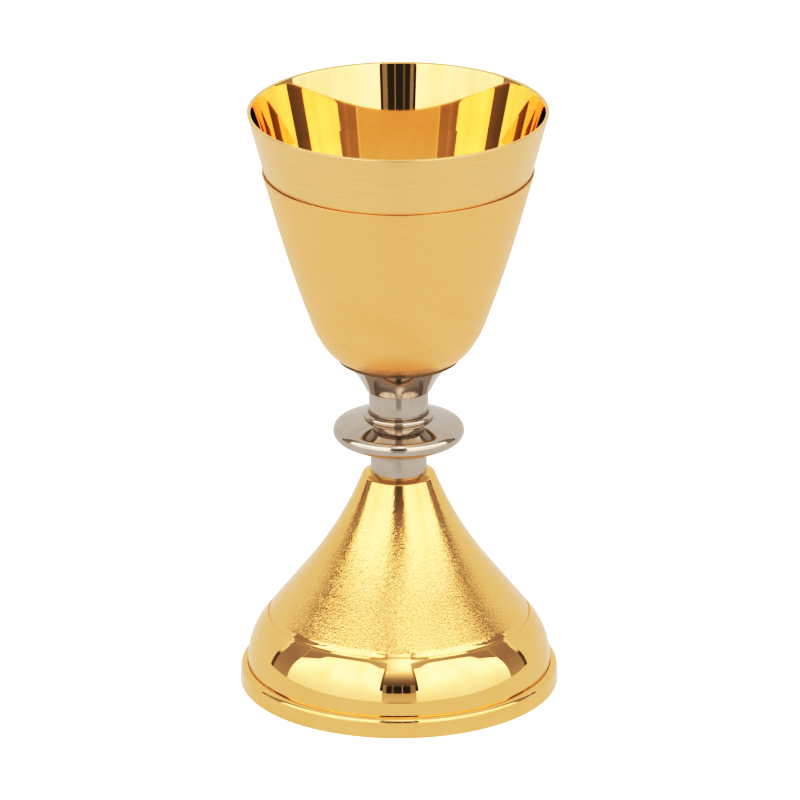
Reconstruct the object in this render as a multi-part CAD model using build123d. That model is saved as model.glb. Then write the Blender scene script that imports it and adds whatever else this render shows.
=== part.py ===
from build123d import *
from math import asin, cos, degrees, radians, sin
import os

# Communion chalice: a double-walled cup on a turned stem and a hollow spun foot.
#
# Units are millimetres. The axis is +Z and the origin is the centre of the base, on the table.
# Every piece is turned or spun about the axis, stands on the piece below it, and is clamped by a
# threaded rod that runs from a boss under the cup to a nut inside the foot.

# ---- Foot -------------------------------------------------------------------------------------
BASE_RING_PLINTH = 2.18         # how far it stands out past the foot's dome, at the table
BASE_RING_HEIGHT = 6.1
BASE_RING_SEAT = 2.32           # how far its ledge runs in from the outside of the dome
BASE_RING_DRAFT = 3.0           # lean of the outer wall, in degrees
BASE_RING_SHOULDER = 1.7        # rounding of its upper outer corner
BASE_RING_TOE = 0.45            # rounding of its lower outer corner
BASE_RING_LEDGE = 3.6           # height of the ledge that carries the foot's edge
BASE_RING_CLEARANCE = 0.08      # round the foot's edge, filled with solder

FOOT_WALL = 1.0                 # thickness of the spun shell
FOOT_DOME_RADIUS = 44.07        # outer radius where the dome stands in the base ring
FOOT_DOME_SPRING = 6.4          # height at which the dome starts to turn in
FOOT_DOME_CURVE = 20.7          # radius of the dome's section
FOOT_DOME_LEAN = 38.3           # lean of the dome where it meets the cone, in degrees
FOOT_DOME_RUN = 2.5             # straight stretch above the dome's curve
FOOT_LINE_WIDTH = 0.6           # the turned line between the dome and the cone
FOOT_LINE_DEPTH = 0.3
FOOT_CONE_CURVE = 114.0         # radius of the cone's hollow flank, above its straight stretch
FOOT_CONE_TOP_LEAN = 21.3       # lean of the flank under the shoulder, in degrees
FOOT_CONE_TOP_RADIUS = 10.65    # radius of the flank under the shoulder
FOOT_SHOULDER = 0.9             # rounding of the shoulder
FOOT_TOP_TILT = 70.8            # lean of the chamfer between the shoulder and the flat top
FOOT_TOP_CHAMFER = 1.75         # length of that chamfer

# ---- Stem -------------------------------------------------------------------------------------
SLEEVE_RADIUS = 8.14
SLEEVE_LENGTH = 5.6

KNOP_RADIUS = 19.0
KNOP_HEIGHT = 13.3
KNOP_RIM_CURVE = 2.5            # radius of the rolled rim
KNOP_RIM_HEIGHT = 6.8           # centre of the rolled rim above the knop's lower face
KNOP_CREST_LEAN = -68.0         # lean at which the roll of the rim ends on top
KNOP_UNDER_LEAN = 64.7          # lean of the underside, in degrees
KNOP_TOP_SWELL = 0.2            # how far the sloping top swells past a straight line
KNOP_HUB_BELOW = 9.0            # radius of the hub under the disc
KNOP_HUB_ABOVE = 8.45           # radius of the groove under the neck ring
KNOP_BEAD_RADIUS = 10.15        # outer radius of the bead round the upper hub
KNOP_BEAD_CURVE = 0.95
KNOP_BEAD_HEIGHT = 11.8         # height of the bead's middle
KNOP_BEAD_ROOT = 43.0           # how far below its middle the bead meets the top, in degrees

NECK_RADIUS = 8.63
NECK_LENGTH = 6.45
NECK_EDGE = 0.25                # rounding of its two edges

COLLAR_FOOT_RADIUS = 9.5
COLLAR_HEIGHT = 9.4
COLLAR_FOOT_LEAN = 24.4         # lean of the flare at the bottom, in degrees
COLLAR_CURVE = 31.5             # radius of the flare
COLLAR_FLOOR = 2.0              # solid floor under the boss
COLLAR_LIP = 0.6                # upright edge on top of the flare

SEAT_RING_RADIUS = 17.7
SEAT_RING_THICKNESS = 1.1
SEAT_RING_EDGE = 0.4            # rounding of its outer edge

SPIGOT_RADIUS = 6.0             # each stem piece has a spigot below and a socket above
SPIGOT_LENGTH = 0.7
SPIGOT_CLEARANCE = 0.1          # round each spigot and under it

# ---- Cup --------------------------------------------------------------------------------------
CALYX_BOTTOM_RADIUS = 18.06
CALYX_HEIGHT = 56.15
CALYX_WALL = 0.55
CALYX_EDGE = 0.2                # rounding of its top edge
BOWL_HEEL_LEAN = 55.6           # lean of the bowl at its bottom corner, in degrees
BOWL_HEEL_CURVE = 13.2
BOWL_TURN_LEAN = 35.4
BOWL_TURN_CURVE = 31.8
BOWL_FLANK_LEAN = 20.1
BOWL_FLANK_CURVE = 392.0
BOWL_SIDE_LEAN = 15.3           # lean of the straight side of the calyx

CUP_HEIGHT = 73.66              # from the cup's underside to the lip
CUP_WALL = 0.9
CUP_GAP = 0.08                  # between the cup and the calyx
CUP_BAND_LEAN = 14.9            # lean of the band above the calyx
CUP_LIP_ROUNDING = 0.4
CUP_FLOOR_ROUNDING = 7.0        # rounding round the floor, inside

# ---- Tie rod and its fastening ----------------------------------------------------------------
ROD_RADIUS = 4.0                # M8
ROD_PASSAGE = 0.4               # clearance round the rod in the stem pieces
ROD_THREAD_CLEARANCE = 0.05     # clearance of the rod in the boss and in the nut
ROD_TAIL = 3.0                  # how far the rod stands out below the nut
ROD_CHAMFER = 0.8
ROD_GAP = 0.5                   # between the rod's end and the roof of the threaded hole
BOSS_RADIUS = 8.0
BOSS_GAP = 0.5                  # between the boss and the collar's floor
BOSS_ROOF = 2.0                 # solid metal above the threaded hole
BOSS_CLEARANCE = 0.1
WASHER_RADIUS = 8.0
WASHER_THICKNESS = 1.6
SPRING_WASHER_RADIUS = 7.2
SPRING_WASHER_THICKNESS = 2.0
SPRING_WASHER_SLIT = 1.6
SPRING_WASHER_SLANT = 20.0      # slant of the slit, in degrees
NUT_ACROSS_FLATS = 13.0
NUT_HEIGHT = 6.5
NUT_CORNER_DROP = 0.6           # height of the chamfers on the nut's corners

SMALL = 0.001                   # shortest straight run worth drawing


# ---- Drawing outlines -------------------------------------------------------------------------
def moved(point, lean, distance):
    """The (radius, height) point that lies distance further along a lean, measured from the axis."""
    return point[0] + distance * sin(radians(lean)), point[1] + distance * cos(radians(lean))


def at_section(point):
    """A (radius, height) point in the section plane."""
    return Vector(point[0], 0, point[1])


def contour(start, lean, steps, inset=0.0):
    """Edges of a smooth outline drawn upwards from start, moved towards the axis by inset.

    Each step is ("line", length), ("arc", radius, lean at its end) or ("rise", height to reach).
    """
    point = moved(start, lean - 90, inset)
    edges = []
    for kind, *sizes in steps:
        if kind == "arc":
            radius, end_lean = sizes
            side = 1 if end_lean < lean else -1
            radius -= side * inset
            centre = moved(point, lean - 90, side * radius)
            middle = moved(centre, (lean + end_lean) / 2 + 90, side * radius)
            end = moved(centre, end_lean + 90, side * radius)
            edges.append(ThreePointArc(at_section(point), at_section(middle), at_section(end)))
            lean = end_lean
        else:
            length = sizes[0] if kind == "line" else (sizes[0] - point[1]) / cos(radians(lean))
            end = moved(point, lean, length)
            edges.append(Line(at_section(point), at_section(end)))
        point = end
    return edges


def top_of(edges):
    """The (radius, height) at which a contour ends."""
    end = edges[-1] @ 1
    return end.X, end.Z


def lean_after(lean, radius, rise):
    """Lean of an arc that turns outwards from the axis once it has risen by rise."""
    return degrees(asin(sin(radians(lean)) + rise / radius))


def turned(start, *runs):
    """Solid of revolution about +Z: from start through points and contours, and back to start."""
    here = at_section(start)
    edges = []
    for run in (*runs, start):
        ends = [at_section(run)] if isinstance(run, tuple) else [run[0] @ 0, run[-1] @ 1]
        ends.sort(key=lambda end: (end - here).length)
        if (ends[0] - here).length > SMALL:
            edges.append(Line(here, ends[0]))
        if not isinstance(run, tuple):
            edges.extend(run)
        here = ends[-1]
    return revolve(Face(Wire(edges)), Axis.Z)


def rounded(solid, height, radius):
    """The solid with its circular edges at the given height rounded."""
    edges = [edge for edge in solid.edges() if abs(edge.center().Z - height) < SMALL]
    return fillet([edge for edge in edges if edge.geom_type == GeomType.CIRCLE], radius)


# ---- Outlines and heights that several pieces share --------------------------------------------
ROD_BORE = ROD_RADIUS + ROD_PASSAGE
THREADED_BORE = ROD_RADIUS + ROD_THREAD_CLEARANCE
SOCKET_RADIUS = SPIGOT_RADIUS + SPIGOT_CLEARANCE
SOCKET_DEPTH = SPIGOT_LENGTH + SPIGOT_CLEARANCE
BOSS_BORE = BOSS_RADIUS + BOSS_CLEARANCE

BASE_RING_RADIUS = FOOT_DOME_RADIUS + BASE_RING_PLINTH
DOME_STEPS = [
    ("rise", FOOT_DOME_SPRING),
    ("arc", FOOT_DOME_CURVE, -FOOT_DOME_LEAN),
    ("line", FOOT_DOME_RUN),
]
SHOULDER_STEPS = [
    ("arc", FOOT_SHOULDER, -FOOT_TOP_TILT),
    ("line", FOOT_TOP_CHAMFER),
]
BOWL_STEPS = [
    ("arc", BOWL_HEEL_CURVE, BOWL_TURN_LEAN),
    ("arc", BOWL_TURN_CURVE, BOWL_FLANK_LEAN),
    ("arc", BOWL_FLANK_CURVE, BOWL_SIDE_LEAN),
]

FOOT_EDGE = (FOOT_DOME_RADIUS, BASE_RING_LEDGE)
FOOT_LINE = top_of(contour(FOOT_EDGE, 0, DOME_STEPS))
CONE_START = moved(FOOT_LINE, -FOOT_DOME_LEAN, FOOT_LINE_WIDTH)
CONE_CURVE_WIDTH = FOOT_CONE_CURVE * (cos(radians(FOOT_CONE_TOP_LEAN)) - cos(radians(FOOT_DOME_LEAN)))
CONE_RUN_WIDTH = CONE_START[0] - CONE_CURVE_WIDTH - FOOT_CONE_TOP_RADIUS
CONE_STEPS = [
    ("line", CONE_RUN_WIDTH / sin(radians(FOOT_DOME_LEAN))),
    ("arc", FOOT_CONE_CURVE, -FOOT_CONE_TOP_LEAN),
]
FOOT_TOP = top_of(contour(CONE_START, -FOOT_DOME_LEAN, CONE_STEPS + SHOULDER_STEPS))[1]

SLEEVE_Z = FOOT_TOP
KNOP_Z = SLEEVE_Z + SLEEVE_LENGTH
NECK_Z = KNOP_Z + KNOP_HEIGHT
COLLAR_Z = NECK_Z + NECK_LENGTH
SEAT_RING_Z = COLLAR_Z + COLLAR_HEIGHT
CALYX_Z = SEAT_RING_Z + SEAT_RING_THICKNESS
CALYX_TOP = CALYX_Z + CALYX_HEIGHT
BOWL_START = (CALYX_BOTTOM_RADIUS, CALYX_Z)
CUP_Z = moved(BOWL_START, BOWL_HEEL_LEAN - 90, CALYX_WALL)[1]
CUP_TOP = CUP_Z + CUP_HEIGHT

BOSS_Z = COLLAR_Z + COLLAR_FLOOR + BOSS_GAP
BOSS_HOLE_TOP = CUP_Z - BOSS_ROOF
WASHER_Z = FOOT_TOP - FOOT_WALL - WASHER_THICKNESS
SPRING_WASHER_Z = WASHER_Z - SPRING_WASHER_THICKNESS
NUT_Z = SPRING_WASHER_Z - NUT_HEIGHT
ROD_Z = NUT_Z - ROD_TAIL


# ---- Pieces -----------------------------------------------------------------------------------
def base_ring():
    """The plinth: a drafted outer wall, a rounded shoulder, and a rebate for the foot's edge."""
    inner = FOOT_DOME_RADIUS - BASE_RING_SEAT
    rebate = FOOT_DOME_RADIUS + BASE_RING_CLEARANCE
    shoulder_rise = BASE_RING_SHOULDER * (1 - sin(radians(BASE_RING_DRAFT)))
    outer = contour(
        (BASE_RING_RADIUS - BASE_RING_TOE, 0),
        90,
        [
            ("arc", BASE_RING_TOE, -BASE_RING_DRAFT),
            ("rise", BASE_RING_HEIGHT - shoulder_rise),
            ("arc", BASE_RING_SHOULDER, -90),
        ],
    )
    return turned(
        (inner, 0),
        outer,
        (rebate, BASE_RING_HEIGHT),
        (rebate, BASE_RING_LEDGE),
        (inner, BASE_RING_LEDGE),
    )


def foot():
    """The spun shell: dome, turned line, hollow-flanked cone, shoulder and flat top with its hole."""
    dome = contour(FOOT_EDGE, 0, DOME_STEPS)
    cone = contour(CONE_START, -FOOT_DOME_LEAN, CONE_STEPS + SHOULDER_STEPS)
    line_floor = moved(CONE_START, -FOOT_DOME_LEAN - 90, FOOT_LINE_DEPTH)
    inner_steps = DOME_STEPS + [("line", FOOT_LINE_WIDTH)] + CONE_STEPS + [("rise", FOOT_TOP - FOOT_WALL)]
    inner = contour(FOOT_EDGE, 0, inner_steps, FOOT_WALL)
    return turned(
        FOOT_EDGE,
        dome,
        line_floor,
        cone,
        (SOCKET_RADIUS, FOOT_TOP),
        (SOCKET_RADIUS, FOOT_TOP - FOOT_WALL),
        inner,
    )


def stem_piece(base, top, radius, edge=0.0):
    """A plain turned cylinder with a spigot below, a socket above and the rod's passage through it."""
    outline = [
        (ROD_BORE, base - SPIGOT_LENGTH),
        (SPIGOT_RADIUS, base - SPIGOT_LENGTH),
        (SPIGOT_RADIUS, base),
        (radius, base),
        (radius, top),
        (SOCKET_RADIUS, top),
        (SOCKET_RADIUS, top - SOCKET_DEPTH),
        (ROD_BORE, top - SOCKET_DEPTH),
    ]
    solid = turned(*outline)
    if edge:
        corners = [e for e in solid.edges() if e.geom_type == GeomType.CIRCLE and abs(e.radius - radius) < SMALL]
        solid = fillet(corners, edge)
    return solid


def lower_sleeve():
    """The satin cylinder between the foot and the knop."""
    return stem_piece(SLEEVE_Z, KNOP_Z, SLEEVE_RADIUS)


def knop():
    """The turned disc: straight underside, rolled rim, sloping top, and a bead round its upper hub."""
    rim_centre = (KNOP_RADIUS - KNOP_RIM_CURVE, KNOP_Z + KNOP_RIM_HEIGHT)
    under_end = moved(rim_centre, KNOP_UNDER_LEAN + 90, KNOP_RIM_CURVE)
    under_run = (under_end[0] - KNOP_HUB_BELOW) / sin(radians(KNOP_UNDER_LEAN))
    under_start = moved(under_end, KNOP_UNDER_LEAN, -under_run)
    rim = contour(
        under_start,
        KNOP_UNDER_LEAN,
        [("line", under_run), ("arc", KNOP_RIM_CURVE, KNOP_CREST_LEAN)],
    )
    bead_centre = (KNOP_BEAD_RADIUS - KNOP_BEAD_CURVE, KNOP_Z + KNOP_BEAD_HEIGHT)
    bead_crown = degrees(asin((bead_centre[0] - KNOP_HUB_ABOVE) / KNOP_BEAD_CURVE))
    crest = at_section(top_of(rim))
    root = at_section(moved(bead_centre, 90 + KNOP_BEAD_ROOT, KNOP_BEAD_CURVE))
    chord = root - crest
    swell = (crest + root) / 2 + Vector(chord.Z, 0, -chord.X).normalized() * KNOP_TOP_SWELL
    bead = ThreePointArc(
        root,
        at_section(moved(bead_centre, 90, KNOP_BEAD_CURVE)),
        at_section(moved(bead_centre, -bead_crown, KNOP_BEAD_CURVE)),
    )
    return turned(
        (ROD_BORE, KNOP_Z - SPIGOT_LENGTH),
        (SPIGOT_RADIUS, KNOP_Z - SPIGOT_LENGTH),
        (SPIGOT_RADIUS, KNOP_Z),
        (KNOP_HUB_BELOW, KNOP_Z),
        rim,
        [ThreePointArc(crest, swell, root), bead],
        (KNOP_HUB_ABOVE, NECK_Z),
        (SOCKET_RADIUS, NECK_Z),
        (SOCKET_RADIUS, NECK_Z - SOCKET_DEPTH),
        (ROD_BORE, NECK_Z - SOCKET_DEPTH),
    )


def neck_ring():
    """The polished cylinder over the knop."""
    return stem_piece(NECK_Z, COLLAR_Z, NECK_RADIUS, NECK_EDGE)


def collar():
    """The flare under the cup, bored from above for the boss."""
    flare_rise = COLLAR_HEIGHT - COLLAR_LIP
    flare = contour(
        (COLLAR_FOOT_RADIUS, COLLAR_Z),
        COLLAR_FOOT_LEAN,
        [("arc", COLLAR_CURVE, lean_after(COLLAR_FOOT_LEAN, COLLAR_CURVE, flare_rise))],
    )
    return turned(
        (ROD_BORE, COLLAR_Z - SPIGOT_LENGTH),
        (SPIGOT_RADIUS, COLLAR_Z - SPIGOT_LENGTH),
        (SPIGOT_RADIUS, COLLAR_Z),
        flare,
        (top_of(flare)[0], SEAT_RING_Z),
        (BOSS_BORE, SEAT_RING_Z),
        (BOSS_BORE, COLLAR_Z + COLLAR_FLOOR),
        (ROD_BORE, COLLAR_Z + COLLAR_FLOOR),
    )


def seat_ring():
    """The thin ring that the calyx stands on."""
    solid = turned(
        (BOSS_BORE, SEAT_RING_Z),
        (SEAT_RING_RADIUS, SEAT_RING_Z),
        (SEAT_RING_RADIUS, CALYX_Z),
        (BOSS_BORE, CALYX_Z),
    )
    outer = [edge for edge in solid.edges() if edge.geom_type == GeomType.CIRCLE and edge.radius > BOSS_BORE + SMALL]
    return fillet(outer, SEAT_RING_EDGE)


def calyx():
    """The thin outer shell, open at the top, with a flat floor holed for the boss."""
    steps = BOWL_STEPS + [("rise", CALYX_TOP)]
    shell = turned(
        (BOSS_BORE, CALYX_Z),
        contour(BOWL_START, BOWL_HEEL_LEAN, steps),
        contour(BOWL_START, BOWL_HEEL_LEAN, steps, CALYX_WALL),
        (BOSS_BORE, CUP_Z),
    )
    return rounded(shell, CALYX_TOP, CALYX_EDGE)


def cup():
    """The inner cup: it follows the calyx inside it and runs on above it as the plain band."""
    outer_inset = CALYX_WALL + CUP_GAP
    inner_inset = outer_inset + CUP_WALL
    inside = contour(BOWL_START, BOWL_HEEL_LEAN, BOWL_STEPS + [("rise", CALYX_TOP)], inner_inset)
    outside = contour(BOWL_START, BOWL_HEEL_LEAN, BOWL_STEPS + [("rise", CALYX_TOP)], outer_inset)
    band_lean = CUP_BAND_LEAN
    outside += contour(top_of(outside), band_lean, [("rise", CUP_TOP)])
    inside += contour(top_of(inside), band_lean, [("rise", CUP_TOP)])
    outer_start = moved(BOWL_START, BOWL_HEEL_LEAN - 90, outer_inset)
    inner_start = moved(BOWL_START, BOWL_HEEL_LEAN - 90, inner_inset)
    shell = turned(
        (0, CUP_Z),
        (outer_start[0], CUP_Z),
        outside,
        inside,
        (0, inner_start[1]),
    )
    shell = rounded(shell, inner_start[1], CUP_FLOOR_ROUNDING)
    return rounded(shell, CUP_TOP, CUP_LIP_ROUNDING)


def cup_boss():
    """The boss soldered under the cup, with the blind hole that the rod screws into."""
    return turned(
        (0, CUP_Z),
        (BOSS_RADIUS, CUP_Z),
        (BOSS_RADIUS, BOSS_Z),
        (THREADED_BORE, BOSS_Z),
        (THREADED_BORE, BOSS_HOLE_TOP),
        (0, BOSS_HOLE_TOP),
    )


def tie_rod():
    """The threaded rod, drawn at its outer diameter."""
    top = BOSS_HOLE_TOP - ROD_GAP
    tip = ROD_RADIUS - ROD_CHAMFER
    return turned(
        (0, ROD_Z),
        (tip, ROD_Z),
        (ROD_RADIUS, ROD_Z + ROD_CHAMFER),
        (ROD_RADIUS, top - ROD_CHAMFER),
        (tip, top),
        (0, top),
    )


def plain_ring(base, thickness, bore, radius):
    """A flat ring."""
    return turned((bore, base), (radius, base), (radius, base + thickness), (bore, base + thickness))


def bearing_washer():
    """The flat washer under the foot's top."""
    return plain_ring(WASHER_Z, WASHER_THICKNESS, ROD_BORE, WASHER_RADIUS)


def spring_washer():
    """The split washer, clamped flat, with its slanting slit."""
    ring = plain_ring(SPRING_WASHER_Z, SPRING_WASHER_THICKNESS, ROD_BORE, SPRING_WASHER_RADIUS)
    slit = Box(2 * SPRING_WASHER_RADIUS, SPRING_WASHER_SLIT, 3 * SPRING_WASHER_THICKNESS)
    slit = Rot(X=SPRING_WASHER_SLANT) * slit
    middle = SPRING_WASHER_Z + SPRING_WASHER_THICKNESS / 2
    return ring - Pos(SPRING_WASHER_RADIUS, 0, middle) * slit


def foot_nut():
    """The hexagon nut with its corners turned off at both faces."""
    flat = NUT_ACROSS_FLATS / 2
    corner = flat / cos(radians(30))
    hexagon = Pos(0, 0, NUT_Z) * extrude(RegularPolygon(flat, 6, major_radius=False), NUT_HEIGHT)
    blank = turned(
        (THREADED_BORE, NUT_Z),
        (flat, NUT_Z),
        (corner, NUT_Z + NUT_CORNER_DROP),
        (corner, NUT_Z + NUT_HEIGHT - NUT_CORNER_DROP),
        (flat, NUT_Z + NUT_HEIGHT),
        (THREADED_BORE, NUT_Z + NUT_HEIGHT),
    )
    return hexagon & blank


PIECES = [
    cup,
    calyx,
    seat_ring,
    collar,
    neck_ring,
    knop,
    lower_sleeve,
    foot,
    base_ring,
    cup_boss,
    tie_rod,
    bearing_washer,
    spring_washer,
    foot_nut,
]

os.makedirs("parts", exist_ok=True)
for piece in PIECES:
    export_step(piece(), f"parts/{piece.__name__}.step")
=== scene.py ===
"""Communion chalice: gilt cup and foot on a nickel-plated stem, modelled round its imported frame.

Every turned or spun piece is drawn as one outline in edit mode and spun about the axis. Places come
from the frame's boxes. Sizes of pieces are millimetres. Meshes, finishes and the studio are metres.
"""

import logging
from dataclasses import dataclass
from enum import Enum
from math import asin, cos, degrees, exp, pi, radians, sin
from typing import Any, Sequence

import bpy
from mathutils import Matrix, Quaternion, Vector


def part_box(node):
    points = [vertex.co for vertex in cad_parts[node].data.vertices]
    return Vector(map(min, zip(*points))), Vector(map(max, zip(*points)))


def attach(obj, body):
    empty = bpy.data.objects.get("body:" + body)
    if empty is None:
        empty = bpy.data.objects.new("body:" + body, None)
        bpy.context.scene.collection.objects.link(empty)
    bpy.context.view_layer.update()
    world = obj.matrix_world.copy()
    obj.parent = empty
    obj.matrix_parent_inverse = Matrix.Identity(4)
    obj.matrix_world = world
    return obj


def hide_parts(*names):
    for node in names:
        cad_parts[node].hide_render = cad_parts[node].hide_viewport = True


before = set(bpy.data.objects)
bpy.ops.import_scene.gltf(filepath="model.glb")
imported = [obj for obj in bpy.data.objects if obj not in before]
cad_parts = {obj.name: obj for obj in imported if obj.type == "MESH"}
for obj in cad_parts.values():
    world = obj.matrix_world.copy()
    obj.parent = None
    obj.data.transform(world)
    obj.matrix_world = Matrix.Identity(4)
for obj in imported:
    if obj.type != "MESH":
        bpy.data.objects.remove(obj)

MM = 0.001
LOG = logging.getLogger("chalice")
CREVICE_TINT_WIDTH = 0.12  # width of the paler band painted on the calyx's upper edge, in millimetres; painted light that tones down the orange of the crevice's reflections

Point = tuple[float, float]
Colour = tuple[float, float, float]


# ---- Shader maths ---------------------------------------------------------------------------
class Signal:
    """A value socket of a shader that takes part in Python expressions."""

    def __init__(self, shader: "Shader", socket: bpy.types.NodeSocket) -> None:
        """Wraps a socket.

        Args:
            shader: The shader that the socket belongs to.
            socket: The output socket that carries the value.
        """
        self.shader = shader
        self.socket = socket

    def _maths(self, operation: str, *values: Any) -> "Signal":
        """Adds one Math node.

        Args:
            operation: The node's operation.
            values: Its operands, as signals or numbers.

        Returns:
            The node's output.
        """
        return self.shader.node("ShaderNodeMath", {"operation": operation}, dict(enumerate(values)))

    def __add__(self, other: Any) -> "Signal":
        """Sum."""
        return self._maths("ADD", self, other)

    __radd__ = __add__

    def __sub__(self, other: Any) -> "Signal":
        """Difference."""
        return self._maths("SUBTRACT", self, other)

    def __rsub__(self, other: Any) -> "Signal":
        """Difference, from the other side."""
        return self._maths("SUBTRACT", other, self)

    def __mul__(self, other: Any) -> "Signal":
        """Product."""
        return self._maths("MULTIPLY", self, other)

    __rmul__ = __mul__

    def __truediv__(self, other: Any) -> "Signal":
        """Quotient."""
        return self._maths("DIVIDE", self, other)

    def __pow__(self, other: Any) -> "Signal":
        """Power."""
        return self._maths("POWER", self, other)

    def __abs__(self) -> "Signal":
        """Size without its sign."""
        return self._maths("ABSOLUTE", self)

    def above(self, edge: float, softness: float) -> "Signal":
        """Mask that rises from 0 to 1 round an edge.

        Args:
            edge: The value at the middle of the rise.
            softness: The width of the rise.

        Returns:
            The mask.
        """
        settings = {"interpolation_type": "SMOOTHSTEP"}
        low, high = edge - softness / 2, edge + softness / 2
        return self.shader.node("ShaderNodeMapRange", settings, {"Value": self, 1: low, 2: high})

    def between(self, low: float, high: float, softness: float) -> "Signal":
        """Mask that is 1 from low to high.

        Args:
            low: Where it starts.
            high: Where it ends.
            softness: The width of both edges.

        Returns:
            The mask.
        """
        return self.above(low, softness) * (1 - self.above(high, softness))


class Shader:
    """Builds the node tree of a material or of the world."""

    def __init__(self, tree: bpy.types.NodeTree) -> None:
        """Empties the tree.

        Args:
            tree: The node tree to fill.
        """
        self.tree = tree
        tree.nodes.clear()

    def node(
        self, kind: str, settings: dict[str, Any], inputs: dict[Any, Any], output: Any = 0
    ) -> Signal:
        """Adds any node.

        Args:
            kind: The node's type.
            settings: Attributes, set before the sockets; "stops" fills a colour ramp.
            inputs: Values or links, by socket name or number.
            output: The output socket to return, by name or number.

        Returns:
            The chosen output.
        """
        made = self.tree.nodes.new(kind)
        for name, value in settings.items():
            if name == "stops":
                self._fill_ramp(made.color_ramp, value)
            else:
                setattr(made, name, value)
        for name, value in inputs.items():
            if isinstance(value, Signal):
                self.tree.links.new(value.socket, made.inputs[name])
            else:
                made.inputs[name].default_value = value
        return Signal(self, made.outputs[output] if len(made.outputs) else made.inputs[0])

    @staticmethod
    def _fill_ramp(ramp: bpy.types.ColorRamp, stops: Sequence[tuple[float, Colour]]) -> None:
        """Sets a ramp's stops.

        Args:
            ramp: The ramp.
            stops: Each stop's place and colour.
        """
        while len(ramp.elements) < len(stops):
            ramp.elements.new(1.0)
        for element, (place, colour) in zip(ramp.elements, stops):
            element.position = place
            element.color = (*colour, 1.0)

    def ramp(self, along: Signal, stops: Sequence[tuple[float, Colour]]) -> Signal:
        """Colours that follow one another.

        Args:
            along: Where the ramp is read.
            stops: Each colour's place and the colour.

        Returns:
            The colour.
        """
        return self.node("ShaderNodeValToRGB", {"stops": stops}, {0: along})

    def blend(self, share: Any, low: Any, high: Any) -> Signal:
        """Mixes two colours.

        Args:
            share: How much of the second colour.
            low: The first colour.
            high: The second colour.

        Returns:
            The mixed colour.
        """
        colours = [c if isinstance(c, Signal) else (*c, 1.0) for c in (low, high)]
        inputs = {0: share, 6: colours[0], 7: colours[1]}
        return self.node("ShaderNodeMix", {"data_type": "RGBA"}, inputs, output=2)

    def noise(self, vector: Signal, scale: float, detail: float = 2.0, warp: float = 0.0) -> Signal:
        """Noise about 0.5.

        Args:
            vector: Where it is read.
            scale: Its scale.
            detail: Its octaves.
            warp: Its distortion.

        Returns:
            The noise's value.
        """
        inputs = {"Vector": vector, "Scale": scale, "Detail": detail, "Distortion": warp}
        return self.node("ShaderNodeTexNoise", {}, inputs)


class SurfaceShader(Shader):
    """The node tree of one metal finish."""

    def __init__(self, name: str) -> None:
        """Starts a material with its coordinates split up.

        Args:
            name: The material's name.
        """
        self.material = bpy.data.materials.new(name)
        self.material.use_nodes = True
        super().__init__(self.material.node_tree)
        self.place = self.node("ShaderNodeTexCoord", {}, {}, output="Object")
        self.x, self.y, self.z = (
            self.node("ShaderNodeSeparateXYZ", {}, {0: self.place}, output=axis) for axis in range(3)
        )

    @property
    def radius(self) -> Signal:
        """Distance from the chalice's axis."""
        return (self.x * self.x + self.y * self.y) ** 0.5

    @property
    def haze(self) -> Signal:
        """Soft cloudiness, a few millimetres wide."""
        return self.noise(self.place, 90.0, 4.0)

    @property
    def rings(self) -> Signal:
        """The faint rings that spinning and polishing leave."""
        return self.noise(self.around(1.5, 2600.0), 1.0, 3.0)

    def around(self, turns: float, along: float) -> Signal:
        """Coordinates for marks that run round the axis, with no seam.

        Args:
            turns: How fast the pattern changes round the axis.
            along: How fast it changes along the axis, per metre.

        Returns:
            The vector.
        """
        radius = self.radius + 1e-6
        inputs = {0: self.x / radius * turns, 1: self.y / radius * turns, 2: self.z * along}
        return self.node("ShaderNodeCombineXYZ", {}, inputs)

    def slanted(self, across: float, along: float, slope: float) -> Signal:
        """Coordinates for hand-made marks that climb to one side.

        Args:
            across: How fast the pattern changes along a mark, per metre.
            along: How fast it changes over a mark, per metre.
            slope: How steeply the marks climb.

        Returns:
            The vector.
        """
        climb = (self.z - self.x * slope) * along
        inputs = {0: self.x * across, 1: self.y * across, 2: climb}
        return self.node("ShaderNodeCombineXYZ", {}, inputs)

    def bump(self, height: Signal, depth: float, under: Signal | None = None) -> Signal:
        """A Bump node.

        Args:
            height: Height from 0 to 1.
            depth: What a height of 1 stands for, in metres.
            under: The normal that it adds to.

        Returns:
            The normal.
        """
        inputs: dict[Any, Any] = {"Height": height, "Distance": depth, "Strength": 1.0}
        if under is not None:
            inputs["Normal"] = under
        return self.node("ShaderNodeBump", {}, inputs)

    def metal(
        self, colour: Any, roughness: Any, normal: Signal | None = None, bloom: float = 0.0
    ) -> None:
        """Ends the tree in a metal surface.

        Args:
            colour: Its colour.
            roughness: Its roughness.
            normal: Its normal.
            bloom: How much its brushed surface pales where it turns away.
        """
        base = colour if isinstance(colour, Signal) else (*colour, 1.0)
        inputs = {"Base Color": base, "Roughness": roughness, "Metallic": 1.0}
        if bloom:
            inputs |= {"Sheen Weight": bloom, "Sheen Roughness": SHEEN_ROUGHNESS}
            inputs["Sheen Tint"] = (*SHEEN_TINT, 1.0)
        if normal is not None:
            inputs["Normal"] = normal
        surface = self.node("ShaderNodeBsdfPrincipled", {}, inputs)
        self.node("ShaderNodeOutputMaterial", {}, {"Surface": surface})


# ---- Finishes -------------------------------------------------------------------------------
class Slot(Enum):
    """The record's material slots."""

    MIRROR_GILT = "mirror_gilt"
    SATIN_GILT = "satin_gilt"
    BARK_GILT = "bark_gilt"
    NICKEL_POLISH = "nickel_polish"
    NICKEL_SATIN = "nickel_satin"
    RAW_BRASS = "raw_brass"
    ZINC_STEEL = "zinc_steel"


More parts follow.
